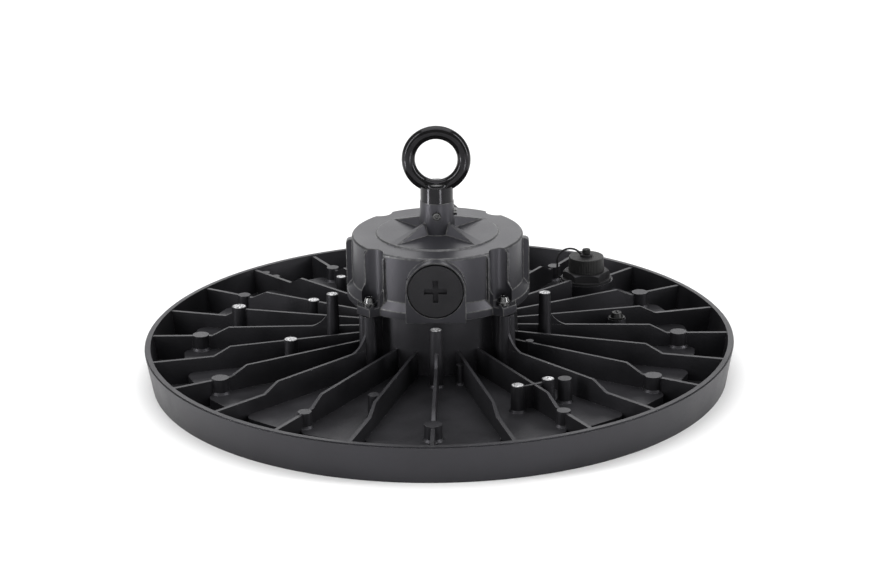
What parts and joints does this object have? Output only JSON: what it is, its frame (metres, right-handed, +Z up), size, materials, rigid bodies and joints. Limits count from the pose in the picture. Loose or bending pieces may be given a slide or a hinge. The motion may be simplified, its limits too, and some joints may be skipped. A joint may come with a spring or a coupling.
{
  "type": "high bay light",
  "caption": "Round LED high bay light: finned black heat-sink casting with a flat lens below, driver housing on top and an eye bolt to hang it.",
  "frame": {"origin": "centre of the rim's bottom edge, level with the plane that the light rests on", "axes": "+Z up along the light's axis, out of the eye bolt; -Y out of the front of the driver cover, where the blanking plug is; +X to the right seen from the front"},
  "size_m": [0.33, 0.33, 0.1417],
  "materials": {
    "black_casting": "satin black powder coat on die-cast aluminium",
    "black_cover": "smooth satin black powder coat",
    "seal_rubber": "matt",
    "bright_screws": "bright plated steel",
    "black_gloss_steel": "gloss black",
    "dark_screws": "blackened steel",
    "black_plastic": "fine matt",
    "white_board": "white solder mask",
    "led_yellow": "yellow phosphor",
    "clear_lens": "clear moulded polycarbonate",
    "silicone_white": "matt",
    "brass_stand_offs": "machined",
    "green_board": "solder mask",
    "transformer_core": "ferrite and taped winding",
    "capacitor_sleeve": "sleeve",
    "green_plastic": "moulded",
    "red_leads": "insulation"
  },
  "bodies": {
    "root": {"heat_sink": "black_casting", "driver_cover": "black_cover", "cover_gasket": "seal_rubber", "cover_screws": "bright_screws", "eye_bolt": "black_gloss_steel", "lock_screws": "bright_screws", "blanking_plug": "black_plastic", "plug_seal": "seal_rubber", "gland_body": "black_plastic", "gland_seal": "seal_rubber", "gland_nut": "black_plastic", "sensor_socket": "black_plastic", "sensor_nut": "black_plastic", "sensor_cap": "black_plastic", "cap_strap": "black_plastic", "earth_washer": "dark_screws", "earth_screw": "dark_screws", "led_board": "white_board", "leds": "led_yellow", "led_board_screws": "bright_screws", "lens": "clear_lens", "lens_gasket": "silicone_white", "lens_screws": "bright_screws", "driver_stand_offs": "brass_stand_offs", "driver_board": "green_board", "driver_screws": "bright_screws", "driver_transformer": "transformer_core", "driver_capacitors": "capacitor_sleeve", "terminal_block": "green_plastic", "lead_grommet": "seal_rubber", "led_leads": "red_leads"}
  },
  "joints": []
}
